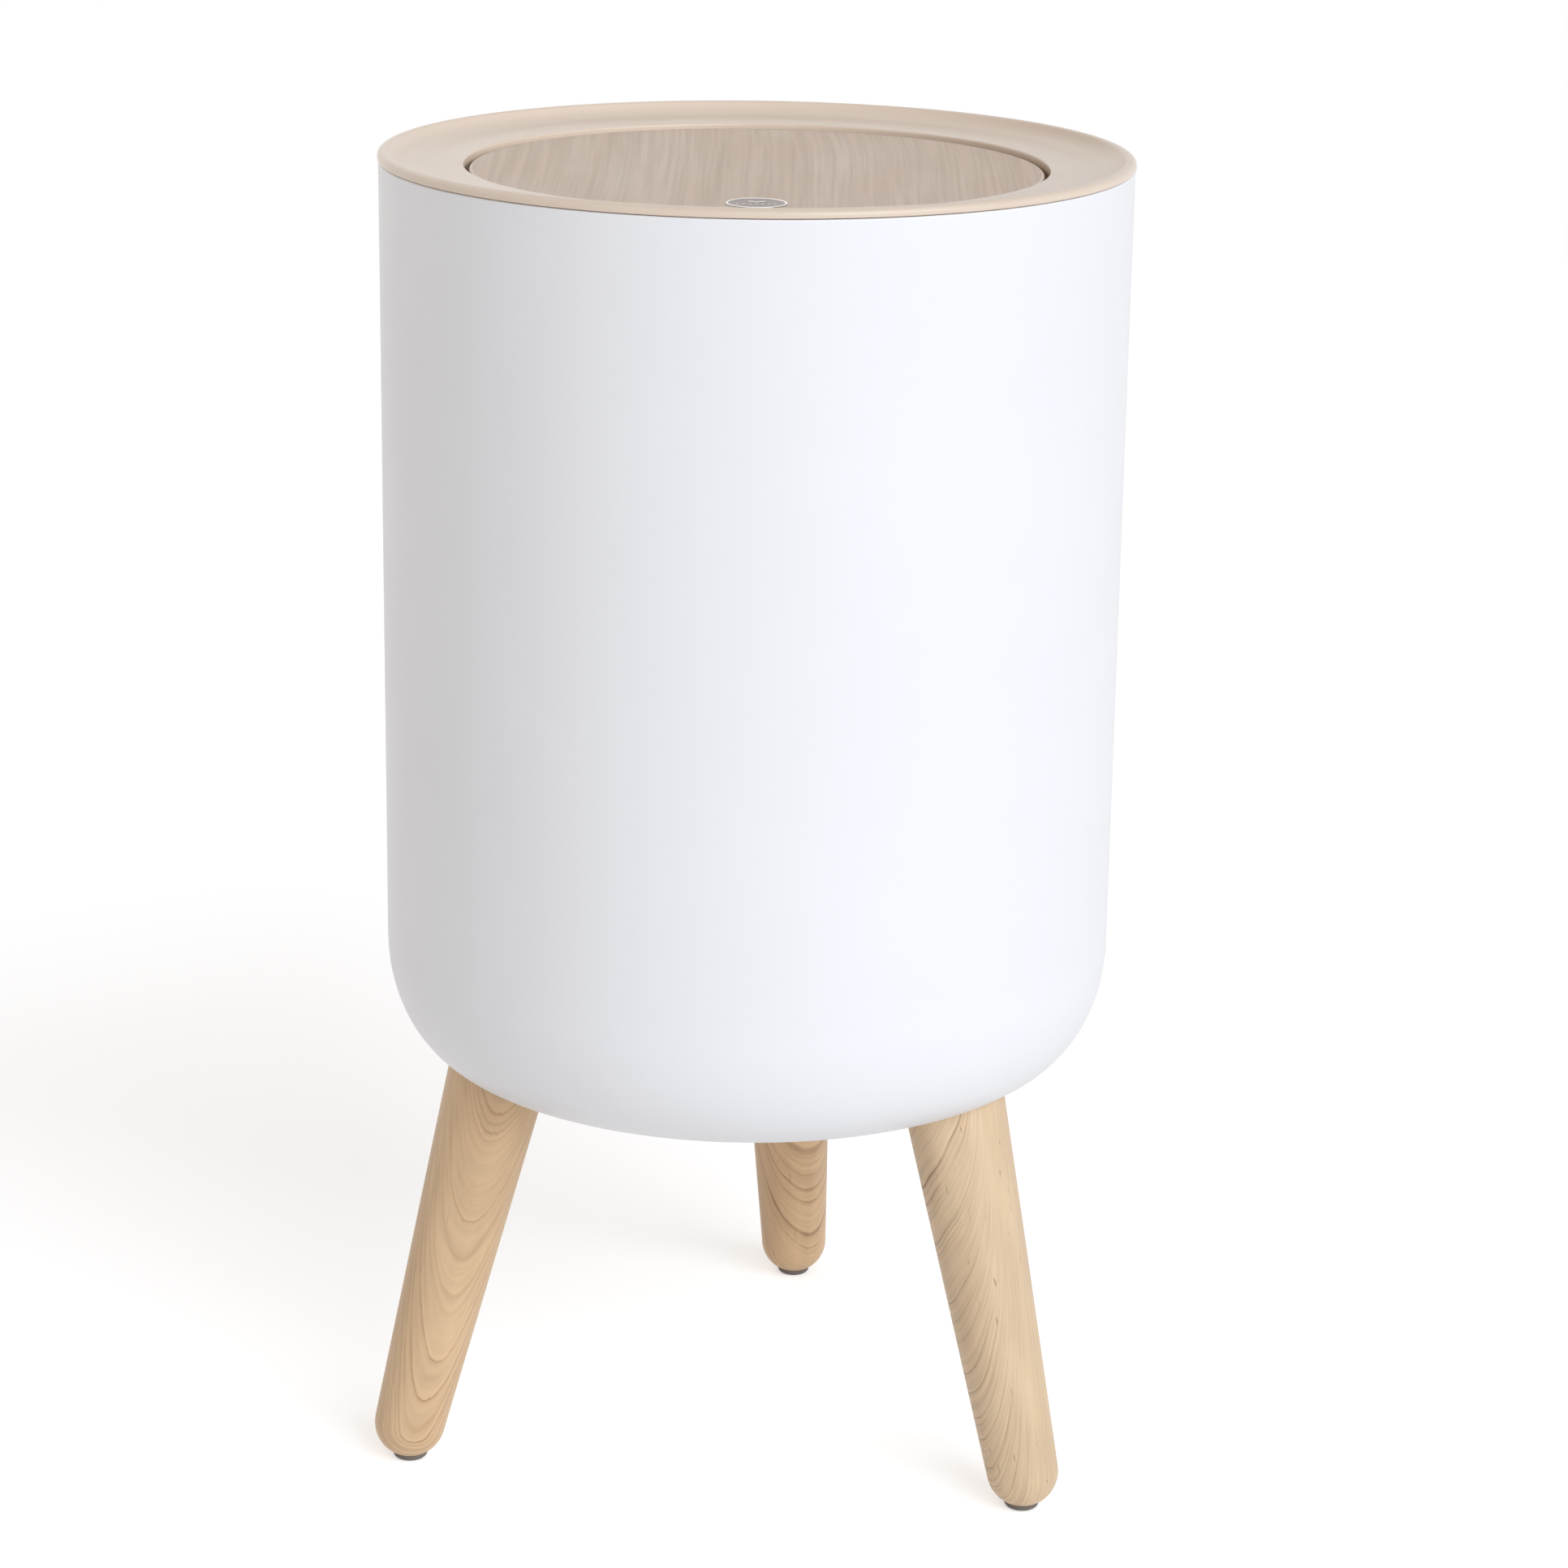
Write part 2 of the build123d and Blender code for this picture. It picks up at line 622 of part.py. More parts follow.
with BuildPart() as pin_clips:
    for side in (-1, 1):
        with BuildSketch(Plane(origin=(side * hub_inner_end, 0, pivot_height), z_dir=(-side, 0, 0))):
            Circle(clip_radius)
            Circle(pin_radius + seat_gap, mode=Mode.SUBTRACT)
        extrude(amount=clip_thickness)
pin_clips.part.label = "pin_clips"
export_step(pin_clips.part, "parts/pin_clips.step")
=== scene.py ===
import math
import bpy
import numpy as np
from mathutils import Matrix, Vector


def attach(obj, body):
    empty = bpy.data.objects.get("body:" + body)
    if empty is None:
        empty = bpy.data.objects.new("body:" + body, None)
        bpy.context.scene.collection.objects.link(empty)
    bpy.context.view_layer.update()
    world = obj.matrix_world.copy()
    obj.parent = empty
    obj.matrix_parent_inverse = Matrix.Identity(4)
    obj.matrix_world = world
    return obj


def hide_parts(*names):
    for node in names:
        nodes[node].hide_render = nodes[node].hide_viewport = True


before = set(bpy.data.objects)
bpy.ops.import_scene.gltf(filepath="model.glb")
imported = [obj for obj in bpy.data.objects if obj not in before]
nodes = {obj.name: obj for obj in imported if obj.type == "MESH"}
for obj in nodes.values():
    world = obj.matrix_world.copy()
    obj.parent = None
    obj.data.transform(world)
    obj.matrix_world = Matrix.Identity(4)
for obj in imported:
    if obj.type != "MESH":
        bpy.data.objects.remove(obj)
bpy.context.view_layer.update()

# Swing-lid bin on three splayed legs. Metres, Z up, the front with the push badge faces -Y. The dictionaries hold
# lengths in mm and angles in degrees.
scene = bpy.context.scene
print("frame loaded:", len(nodes), "nodes")


def toLinear(hexColour):
    # sRGB hex to the linear values that shaders work with
    parts = [int(hexColour[i:i + 2], 16) / 255 for i in (1, 3, 5)]
    return [c / 12.92 if c <= 0.04045 else ((c + 0.055) / 1.055) ** 2.4 for c in parts] + [1.0]


def addNode(tree, kind, inputs=None, **settings):
    # one node with its settings; an input takes a value, or a (node, output) pair to link
    node = tree.nodes.new(kind)
    for name, value in settings.items():
        setattr(node, name, value)
    for name, value in (inputs or {}).items():
        if isinstance(value, tuple) and isinstance(value[0], bpy.types.Node):
            tree.links.new(value[0].outputs[value[1]], node.inputs[name])
        else:
            node.inputs[name].default_value = value
    return node


# the next functions each add one node of a common kind and give back its (node, output) pair
def mixed(tree, factor, first, second):
    return addNode(tree, "ShaderNodeMix", {"Factor": factor, "A": first, "B": second}, data_type="RGBA"), 2


def ranged(tree, value, toMin, toMax, fromMin=0.0, fromMax=1.0, **settings):
    limits = {"From Min": fromMin, "From Max": fromMax, "To Min": toMin, "To Max": toMax}
    return addNode(tree, "ShaderNodeMapRange", {"Value": value, **limits}, **settings), 0


def reckoned(tree, operation, *values, **settings):
    return addNode(tree, "ShaderNodeMath", dict(enumerate(values)), operation=operation, **settings), 0


def vectorReckoned(tree, operation, *values):
    step = addNode(tree, "ShaderNodeVectorMath", dict(enumerate(values)), operation=operation)
    return step, "Value" if operation == "LENGTH" else "Vector"


def noiseAt(tree, vector, scale, detail, distortion=0.0):
    inputs = {"Vector": vector, "Scale": scale, "Detail": detail, "Distortion": distortion}
    return addNode(tree, "ShaderNodeTexNoise", inputs), "Fac"


def bumped(tree, height, depth, strength):
    return addNode(tree, "ShaderNodeBump", {"Height": height, "Distance": depth / 1000, "Strength": strength}), 0


def feed(tree, shader, inputs):
    for name, (node, output) in inputs.items():
        tree.links.new(node.outputs[output], shader.inputs[name])


def startMaterial(name, **shaderValues):
    # a Principled shader with the plain numbers set on its own sockets, and the Object coordinates to draw on
    material = bpy.data.materials.new(name)
    material.use_nodes = True
    tree = material.node_tree
    tree.nodes.clear()
    shader = addNode(tree, "ShaderNodeBsdfPrincipled", shaderValues)
    addNode(tree, "ShaderNodeOutputMaterial", {"Surface": (shader, "BSDF")})
    coords = addNode(tree, "ShaderNodeTexCoord")
    return material, tree, shader, (coords, "Object")


def dress(nodeNames, material):
    for name in nodeNames:
        slots = nodes[name].data.materials
        for index in range(len(slots)):
            slots[index] = material


def meshPiece(name, points, faces, material):
    # faces may have different numbers of corners
    mesh = bpy.data.meshes.new(name)
    mesh.from_pydata(points.reshape(-1, 3).tolist(), [], faces)
    mesh.polygons.foreach_set("use_smooth", np.full(len(mesh.polygons), True))
    mesh.materials.append(material)
    mesh.update()
    piece = bpy.data.objects.new(name, mesh)
    scene.collection.objects.link(piece)
    return piece


def gridFaces(rows, columns, closed=False):
    # quads over a grid of points given row by row; the columns go all round, and the rows too where closed is true
    i, j = np.meshgrid(np.arange(rows if closed else rows - 1), np.arange(columns), indexing="ij")
    nextI, nextJ = (i + 1) % rows, (j + 1) % columns
    return (np.stack([i, i, nextI, nextI], -1) * columns + np.stack([j, nextJ, nextJ, j], -1)).reshape(-1, 4)


def arc(centre, radii, start, end, count):
    # points of an elliptical arc, angles in degrees from the outward direction
    a = np.radians(np.linspace(start, end, count))
    return np.stack([centre[0] + radii[0] * np.cos(a), centre[1] + radii[1] * np.sin(a)], -1)


# patch is the size of the uneven colour, grain that of the mould's tooth and bump its depth
shellFinish = {"colour": "#F5F5F7", "shade": "#F1F1F3", "patch": 45.0, "grain": 0.7, "roughness": 0.42, "bump": 0.02}
ringFinish = {"colour": "#E9D7C5", "shade": "#E5D1BD", "patch": 30.0, "grain": 0.6, "roughness": 0.3, "bump": 0.02}
linerFinish = {"colour": "#B9B7B3", "shade": "#AEACA8", "patch": 60.0, "grain": 0.8, "roughness": 0.55, "bump": 0.02}
bushFinish = {"colour": "#E8E6DF", "shade": "#DEDBD2", "patch": 8.0, "grain": 0.3, "roughness": 0.35, "bump": 0.01}
mould = {"patchDetail": 3.0, "toothDetail": 2.0, "toothStrength": 0.6, "glossSpread": 0.05}


def mouldedPlastic(name, finish, ior=1.49):
    # polypropylene from a lightly eroded mould: satin, with a very fine tooth and barely uneven colour
    material, tree, shader, coords = startMaterial(name, IOR=ior)
    patches = noiseAt(tree, coords, 1000 / finish["patch"], mould["patchDetail"])
    tooth = noiseAt(tree, coords, 1000 / finish["grain"], mould["toothDetail"])
    smoothest, dullest = finish["roughness"] - mould["glossSpread"], finish["roughness"] + mould["glossSpread"]
    feed(tree, shader, {
        "Base Color": mixed(tree, patches, toLinear(finish["colour"]), toLinear(finish["shade"])),
        "Roughness": ranged(tree, patches, smoothest, dullest),
        "Normal": bumped(tree, tooth, finish["bump"], mould["toothStrength"]),
    })
    return material


dress(["outer_shell"], mouldedPlastic("whiteMouldedPolypropylene", shellFinish))
beigePlastic = mouldedPlastic("beigeMouldedPolypropylene", ringFinish)
dress(["lid_panel", "lid_tray"], beigePlastic)
dress(["inner_bucket"], mouldedPlastic("greyMouldedPolypropylene", linerFinish))
dress(["pivot_bush_left", "pivot_bush_right"], mouldedPlastic("naturalAcetal", bushFinish, ior=1.48))
print("plastics done")


# lid ring: radii and heights of its section's main points, seen with the mouth at the left. slopeRun and floorRun are
# how far the curve between crest and floor is pulled along each of them, and under lies hidden inside the thickness
ringShape = {
    "outer": 120.0, "foot": 431.2, "footEdge": 0.25, "top": 434.0,
    "shoulderWidth": 2.6, "shoulderHeight": 1.8, "shoulderSteps": 14,
    "crestRound": 1.5, "crestSteps": 9, "slope": 55.0, "slopeRun": 4.0, "slopeSteps": 22,
    "floorEdge": 104.5, "floorRun": 6.0, "floor": 429.72,
    "lip": 429.6, "lipRound": 0.7, "lipSteps": 9, "mouth": 92.9, "mouthFoot": 426.5, "mouthEdge": 0.2,
    "under": [(93.6, 426.5), (94.6, 427.6), (100.0, 428.0), (108.2, 428.0), (113.4, 429.2), (116.3, 431.9),
              (116.5, 431.2)],
    "turns": 360,
}
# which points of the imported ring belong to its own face, and how far they go down or in to lie inside the new one
packedFace = {
    "dishRadius": 114.6, "dishHeight": 428.95, "lipReach": 0.55, "sideReach": 0.4, "slack": 0.05,
    "sink": 0.9, "keep": 0.4, "wallInset": 1.0, "sideInset": 1.4,
}
sharpFrom = math.radians(32)


def ringSection():
    # closed section of the moulding's face: side, rounded shoulder, crest, a slope that runs out in a cubic curve into
    # the nearly level floor, the small lip and the wall of the mouth, then back inside the thickness of the ring
    ring = ringShape
    crest = ring["outer"] - ring["shoulderWidth"]
    shoulderRadii = (ring["shoulderWidth"], ring["shoulderHeight"])
    shoulder = arc((crest, ring["top"] - ring["shoulderHeight"]), shoulderRadii, 0, 90, ring["shoulderSteps"])
    crestRadii = (ring["crestRound"], ring["crestRound"])
    over = arc((crest, ring["top"] - ring["crestRound"]), crestRadii, 90, 90 + ring["slope"], ring["crestSteps"])[1:]
    slope = math.radians(ring["slope"])
    floorStart = np.array([ring["floorEdge"], ring["floor"]])
    first, last = over[-1], floorStart
    leaving = first + np.array([-math.cos(slope), -math.sin(slope)]) * ring["slopeRun"]
    arriving = last + (ring["floorRun"], 0)
    t = np.linspace(0, 1, ring["slopeSteps"])[1:, None]
    run = first * (1 - t) ** 3 + leaving * 3 * t * (1 - t) ** 2 + arriving * 3 * t * t * (1 - t) + last * t ** 3
    lipCentre = (ring["mouth"] + ring["lipRound"], ring["lip"] - ring["lipRound"])
    lip = arc(lipCentre, (ring["lipRound"], ring["lipRound"]), 90, 180, ring["lipSteps"])
    wallFoot = [(ring["mouth"], ring["mouthFoot"] + ring["mouthEdge"]),
                (ring["mouth"] + ring["mouthEdge"], ring["mouthFoot"])]
    side = [(ring["outer"] - ring["footEdge"], ring["foot"]), (ring["outer"], ring["foot"] + ring["footEdge"])]
    return np.concatenate([side, shoulder, over, run, lip, wallFoot, ring["under"]])


def mergedRing():
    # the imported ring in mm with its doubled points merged, and its triangles without those that this flattens
    packed = nodes["lid_frame"].data
    points = np.empty(len(packed.vertices) * 3)
    packed.vertices.foreach_get("co", points)
    corners = np.empty(len(packed.loops), dtype=int)
    packed.loops.foreach_get("vertex_index", corners)
    merged, index = np.unique(np.round(points.reshape(-1, 3) * 1000, 4), axis=0, return_inverse=True)
    triangles = index.reshape(-1)[corners].reshape(-1, 3)
    a, b, c = triangles.T
    return merged, triangles[(a != b) & (b != c) & (c != a)]


def ringMoulding():
    # the section turned about Z on a grid of point by angle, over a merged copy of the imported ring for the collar,
    # skirt, ribs and lugs, whose own face is let down inside the thickness
    section = ringSection()
    turns = np.linspace(0, 2 * np.pi, ringShape["turns"], endpoint=False)
    r, a = np.meshgrid(section[:, 0], turns, indexing="ij")
    face = np.stack([r * np.cos(a), r * np.sin(a), np.broadcast_to(section[:, 1:], r.shape)], -1).reshape(-1, 3)
    quads = gridFaces(len(section), len(turns), closed=True)

    merged, triangles = mergedRing()
    own, slack = packedFace, packedFace["slack"]
    mouth, mouthFoot, outer, foot = (ringShape[key] for key in ("mouth", "mouthFoot", "outer", "foot"))
    radius, height = np.hypot(merged[:, 0], merged[:, 1]), merged[:, 2]
    onTop = np.where(radius < own["dishRadius"], height > own["dishHeight"], height > foot + slack)
    onWall = (radius < mouth + own["lipReach"]) & (radius > mouth - slack) & (height > mouthFoot - slack)
    onWall &= (radius < mouth + slack) | (height > mouthFoot + slack)
    onSide = radius > outer - own["sideReach"]
    newHeight = np.where(onTop | onWall, np.maximum(height - own["sink"], mouthFoot + own["keep"]), height)
    newHeight = np.where(onSide, np.maximum(newHeight, foot + own["keep"]), newHeight)
    newRadius = np.where(onWall, mouth + own["wallInset"], np.where(onSide, outer - own["sideInset"], radius))
    merged = np.concatenate([merged[:, :2] * (newRadius / np.maximum(radius, 1e-6))[:, None], newHeight[:, None]], -1)
    return np.concatenate([face, merged]) / 1000, quads.tolist() + (triangles + len(face)).tolist()


ringPoints, ringFaces = ringMoulding()
ringPiece = meshPiece("ring_moulding", ringPoints, ringFaces, beigePlastic)
ringPiece.data.set_sharp_from_angle(angle=sharpFrom)
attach(ringPiece, "ring")
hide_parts("lid_frame")
print("lid ring done")


# patch is the size of the patches of uneven gloss on the metals, and of the dust on the rubber
zincFinish = {"colour": "#C6C8CA", "shade": "#B4B6B8", "smoothest": 0.26, "dullest": 0.40, "patch": 4.0}
brassFinish = {"colour": "#D9B46A", "shade": "#C9A35C", "smoothest": 0.22, "dullest": 0.36, "patch": 3.0}
rubberFinish = {"colour": "#655D56", "shade": "#7A7168", "smoothest": 0.65, "dullest": 0.85, "patch": 2.5}


def unevenSurface(name, finish, detail, **shaderValues):
    # a plain surface with slightly uneven colour and gloss
    material, tree, shader, coords = startMaterial(name, **shaderValues)
    patches = noiseAt(tree, coords, 1000 / finish["patch"], detail)
    feed(tree, shader, {
        "Base Color": mixed(tree, patches, toLinear(finish["colour"]), toLinear(finish["shade"])),
        "Roughness": ranged(tree, patches, finish["smoothest"], finish["dullest"]),
    })
    return material


zincSteel = unevenSurface("zincPlatedSteel", zincFinish, detail=4.0, Metallic=1.0)
dress(["leg_studs", "counterweight", "pivot_pin_left", "pivot_pin_right", "pin_clips"], zincSteel)
dress(["leg_inserts"], unevenSurface("turnedBrass", brassFinish, detail=4.0, Metallic=1.0))
dullRubber = unevenSurface("dullRubber", rubberFinish, detail=5.0, IOR=1.52)
dress(["foot_pad_left", "foot_pad_right", "foot_pad_rear"], dullRubber)
print("metals and rubber done")

# cross-head screws under the lid: the set's circle and first angle, the height of the head's face, the round of its
# edge, the shank's radius and the height of its end
screws = {
    "tray_screws": {"circle": 63.8, "first": 45.0, "count": 4, "face": 407.4, "edge": 0.63, "shank": 1.5, "end": 425.0},
    "weight_screws": {"circle": 20.0, "first": 90.0, "count": 3, "face": 405.2, "edge": 0.95, "shank": 2.0,
                      "end": 414.1},
}
# the recess has sloping sides armSlope wide, and each screw of a set is turned by spin more than the one before
screwHead = {
    "radius": 3.4, "height": 1.9, "armLength": 1.35, "armHalfWidth": 0.5, "armSlope": 0.15, "depth": 1.0,
    "spin": 35.0, "turns": 96, "faceSteps": 32, "edgeSteps": 7, "pinhole": 0.05,
}


def oneScrew(screw):
    # a polar grid of ring by angle: the head's face, the rounded edge, the side and the shank. The recess is sunk where
    # the distance to the nearer arm of the cross is under half its width
    head = screwHead
    angles = np.linspace(0, 2 * np.pi, head["turns"], endpoint=False)
    flat = np.linspace(head["pinhole"], head["radius"] - screw["edge"], head["faceSteps"])
    edgeCentre = (head["radius"] - screw["edge"], screw["edge"])
    edge = arc(edgeCentre, (screw["edge"], screw["edge"]), -90, 0, head["edgeSteps"])[1:]
    shankEnd = screw["end"] - screw["face"]
    radii = np.concatenate([flat, edge[:, 0], [head["radius"], screw["shank"], screw["shank"], head["pinhole"]]])
    lifts = np.concatenate([np.zeros(len(flat)), edge[:, 1], [head["height"], head["height"], shankEnd, shankEnd]])
    r, a = np.meshgrid(radii, angles, indexing="ij")
    x, y = r * np.cos(a), r * np.sin(a)
    toArmX = np.hypot(np.maximum(np.abs(x) - head["armLength"], 0), y)
    toArmY = np.hypot(x, np.maximum(np.abs(y) - head["armLength"], 0))
    sunk = np.clip((head["armHalfWidth"] - np.minimum(toArmX, toArmY)) / head["armSlope"], 0, 1)
    z = screw["face"] + lifts[:, None] + head["depth"] * sunk * (lifts == 0)[:, None]
    last = (len(radii) - 1) * len(angles)
    ends = [list(range(len(angles)))[::-1], list(range(last, last + len(angles)))]
    return x, y, z, gridFaces(len(radii), len(angles)).tolist() + ends


def screwSet(screw):
    # copies of one screw round the set's circle
    x, y, z, shapes = oneScrew(screw)
    points, faces = [], []
    for number in range(screw["count"]):
        place = math.radians(screw["first"] + 360 / screw["count"] * number)
        spin = math.radians(screwHead["spin"] * number)
        turnedX = x * math.cos(spin) - y * math.sin(spin) + screw["circle"] * math.cos(place)
        turnedY = x * math.sin(spin) + y * math.cos(spin) + screw["circle"] * math.sin(place)
        points.append(np.stack([turnedX, turnedY, z], -1).reshape(-1, 3))
        faces += [[corner + number * x.size for corner in shape] for shape in shapes]
    return np.concatenate(points) / 1000, faces


for name, screw in screws.items():
    screwPoints, screwFaces = screwSet(screw)
    screwPiece = meshPiece("crosshead_" + name, screwPoints, screwFaces, zincSteel)
    screwPiece.data.set_sharp_from_angle(angle=sharpFrom)
    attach(screwPiece, "lid")
    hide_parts(name)
print("screws done")


legs = {
    # apex: where round the leg the nested U lines have their lowest point, in degrees to the viewer's right of the
    # front; lean: how much the trunk's middle leans away going up; nearRate and farRate: how fast the rings are passed
    # on the side of the apex and on the far side
    "left": {"azimuth": -69.0, "apex": 11.0, "lean": 0.08, "nearRate": 1.0, "farRate": 1.0, "pithDistance": 19.0,
             "ringWidth": 0.85, "wander": 1.6, "colour": "#E0BF97", "line": "#A97F57", "fleck": 0.2, "seed": 1.7},
    "right": {"azimuth": 51.0, "apex": -84.0, "lean": 0.3, "nearRate": 0.5, "farRate": 3.4, "pithDistance": 26.0,
              "ringWidth": 1.15, "wander": 4.0, "colour": "#E7CBA7", "line": "#966D47", "fleck": 0.6, "seed": 5.2},
    "rear": {"azimuth": 171.0, "apex": 36.0, "lean": 0.27, "nearRate": 0.9, "farRate": 2.4, "pithDistance": 20.0,
             "ringWidth": 2.9, "wander": 1.8, "colour": "#DBB88F", "line": "#8A633F", "fleck": 0.4, "seed": 9.1},
}
legStand = {"reach": 122.3, "splay": 14.65}
# what the legs share. The noises are in turns per mm across, across and along the trunk; corner softens the change
# from one rate to the other, and from nearTo down to nearFrom of it the lines weaken to farStrength; late is how dark a
# ring is at each share of its width; a tone is two strengths and the two noise values that they belong to
beech = {
    "roughness": 0.46, "corner": 5.0, "nearFrom": -3.0, "nearTo": 10.0, "farStrength": 0.5,
    "slow": (0.05, 0.05, 0.014), "small": (0.3, 0.3, 0.06), "smallWave": 0.22, "unevenRings": 2.2, "unevenScale": 0.5,
    "lateEnds": ((0.0, 0.35), (1.0, 0.3)), "late": ((0.1, 0.06), (0.5, 0.1), (0.8, 0.4), (0.92, 1.0)),
    "ownTone": (0.1, 1.0, 0.2, 1.0), "patchy": (0.1, 0.1, 0.025), "patchTone": (0.35, 1.0, 0.3, 0.65),
    "blotches": (0.1, 0.1, 0.022), "blotchTone": (0.0, 0.22, 0.3, 0.75),
    "fibres": (2.0, 0, 0.055), "fibreTone": (0.87, 1.06, 0.3, 0.7), "fibreDepth": 0.03, "fibreStrength": 0.5,
    "flecks": (1.0, 1.0, 0.14), "fleckFrom": (0.72, 0.79), "fleckColour": "#8A6747",
}


def legAxes(leg):
    # the leg's own directions: where its axis meets the floor, along it, to the viewer's right and towards the front
    turn = math.radians(leg["azimuth"])
    outward = Vector((math.sin(turn), -math.cos(turn), 0))
    splay = math.radians(legStand["splay"])
    along = Vector((0, 0, math.cos(splay))) - outward * math.sin(splay)
    right = (Vector((1, 0, 0)) - along * along.x).normalized()
    return outward * (legStand["reach"] / 1000), along, right, right.cross(along)


def trunkPlace(tree, coords, leg):
    # coordinates in mm about the trunk's middle: across, towards the apex and along the leg
    foot, along, right, front = legAxes(leg)
    apex = math.radians(leg["apex"])
    towards = front * math.cos(apex) + right * math.sin(apex)
    turn = Matrix((towards.cross(along), towards, along))
    centre = foot - towards * leg["pithDistance"] / 1000
    shift = {"Vector": coords, "Location": -(turn @ centre), "Rotation": turn.to_euler("XYZ")}
    placed = addNode(tree, "ShaderNodeMapping", shift)
    return vectorReckoned(tree, "MULTIPLY", (placed, "Vector"), (1000, 1000, 1000))


def turnedBeech(name, leg):
    # turned beech under a thin matt coat: growth rings that are cut at a slant show as nested U lines, each with
    # its own strength, over fine fibre streaks and short dark flecks along the grain
    material, tree, shader, coords = startMaterial(name, Roughness=beech["roughness"], IOR=1.5)
    inMm = trunkPlace(tree, coords, leg)

    def grain(scale, detail):
        # noise stretched along the trunk, from a place of the leg's own
        place = vectorReckoned(tree, "MULTIPLY_ADD", inMm, scale, (leg["seed"],) * 3)
        return noiseAt(tree, place, 1.0, detail)

    # distance from the trunk's middle, counted slowly on the side of the apex and faster on the far side, plus the
    # lean: U lines that straighten round the sides. Then slow and small waviness
    parts = addNode(tree, "ShaderNodeSeparateXYZ", {"Vector": inMm})
    flat = vectorReckoned(tree, "MULTIPLY", inMm, (1, 1, 0))
    offset = reckoned(tree, "SUBTRACT", vectorReckoned(tree, "LENGTH", flat), leg["pithDistance"] + 1)
    softCorner = addNode(tree, "ShaderNodeCombineXYZ", {"X": offset, "Y": beech["corner"]})
    turned = vectorReckoned(tree, "LENGTH", (softCorner, "Vector"))
    plain = reckoned(tree, "MULTIPLY", offset, (leg["nearRate"] + leg["farRate"]) / 2)
    counting = reckoned(tree, "MULTIPLY_ADD", turned, (leg["nearRate"] - leg["farRate"]) / 2, plain)
    lifted = reckoned(tree, "MULTIPLY_ADD", (parts, "Z"), leg["lean"], counting)
    nearSide = ranged(tree, offset, 0.0, 1.0, beech["nearFrom"], beech["nearTo"], interpolation_type="SMOOTHSTEP")
    moved = reckoned(tree, "MULTIPLY_ADD", grain(beech["slow"], 1.0), leg["wander"], lifted)
    wavy = reckoned(tree, "MULTIPLY_ADD", grain(beech["small"], 2.0), beech["smallWave"], moved)
    counted = reckoned(tree, "DIVIDE", wavy, leg["ringWidth"])
    spreadInputs = {"W": counted, "Scale": beech["unevenScale"], "Detail": 0.0}
    spread = addNode(tree, "ShaderNodeTexNoise", spreadInputs, noise_dimensions="1D")
    uneven = reckoned(tree, "MULTIPLY_ADD", (spread, "Fac"), beech["unevenRings"], counted)
    # within a ring the wood darkens slowly to a thin late line; whole ring numbers pick how strong that line is
    late = addNode(tree, "ShaderNodeFloatCurve", {"Value": reckoned(tree, "FRACT", uneven)})
    points = late.mapping.curves[0].points
    points[0].location, points[1].location = beech["lateEnds"]
    for place, value in beech["late"]:
        points.new(place, value)
    late.mapping.update()
    number = reckoned(tree, "FLOOR", uneven)
    own = addNode(tree, "ShaderNodeTexWhiteNoise", {"W": number}, noise_dimensions="1D")
    ownStrength = ranged(tree, (own, "Value"), *beech["ownTone"])
    patchStrength = ranged(tree, grain(beech["patchy"], 2.0), *beech["patchTone"])
    strength = reckoned(tree, "MULTIPLY", ownStrength, patchStrength)
    sided = reckoned(tree, "MULTIPLY", strength, ranged(tree, nearSide, beech["farStrength"], 1.0))
    drawn = reckoned(tree, "MULTIPLY", (late, "Value"), sided)

    # soft colour blotches some 10 mm wide, then the ring lines
    wood, line = toLinear(leg["colour"]), toLinear(leg["line"])
    blotches = ranged(tree, grain(beech["blotches"], 2.0), *beech["blotchTone"])
    lined = mixed(tree, drawn, mixed(tree, blotches, wood, line), line)
    # fibres follow the rings: 0.5 mm apart across them and about 18 mm long; flecks are about 1 mm by 7 mm
    strand = addNode(tree, "ShaderNodeCombineXYZ", {"X": wavy, "Z": (parts, "Z")})
    fibres = noiseAt(tree, vectorReckoned(tree, "MULTIPLY", (strand, "Vector"), beech["fibres"]), 1.0, 3.0)
    toned = vectorReckoned(tree, "MULTIPLY", lined, ranged(tree, fibres, *beech["fibreTone"]))
    flecks = ranged(tree, grain(beech["flecks"], 1.0), 0.0, leg["fleck"], *beech["fleckFrom"])
    feed(tree, shader, {
        "Base Color": mixed(tree, flecks, toned, toLinear(beech["fleckColour"])),
        "Normal": bumped(tree, fibres, beech["fibreDepth"], beech["fibreStrength"]),
    })
    return material


for side, leg in legs.items():
    dress(["leg_" + side], turnedBeech("turnedBeech_" + side, leg))
print("legs done")


# each pattern of the film: its width and length, the noise's detail, the noise values between which it comes in, and
# its strength. The patterns wander up to aside to either side, over the width and length in wander
filmFinish = {
    "colour": "#CEB6A0", "dark": "#AC937B", "pale": "#D8C4B2", "warm": "#D3B6A1", "roughness": 0.45,
    "wander": (60.0, 150.0), "aside": 4.5, "relief": 0.02, "reliefStrength": 0.4,
    "streaks": {"size": (1.3, 110.0), "detail": 2.0, "from": (0.38, 0.7), "strength": 0.42},
    "lines": {"size": (4.5, 150.0), "detail": 1.0, "from": (0.5, 0.72), "strength": 0.25},
    "bands": {"size": (16.0, 120.0), "detail": 2.0, "from": (0.3, 0.7), "strength": 1.0, "distortion": 0.3},
    "patches": {"size": (28.0, 40.0), "detail": 2.0, "from": (0.4, 0.7), "strength": 0.6},
}


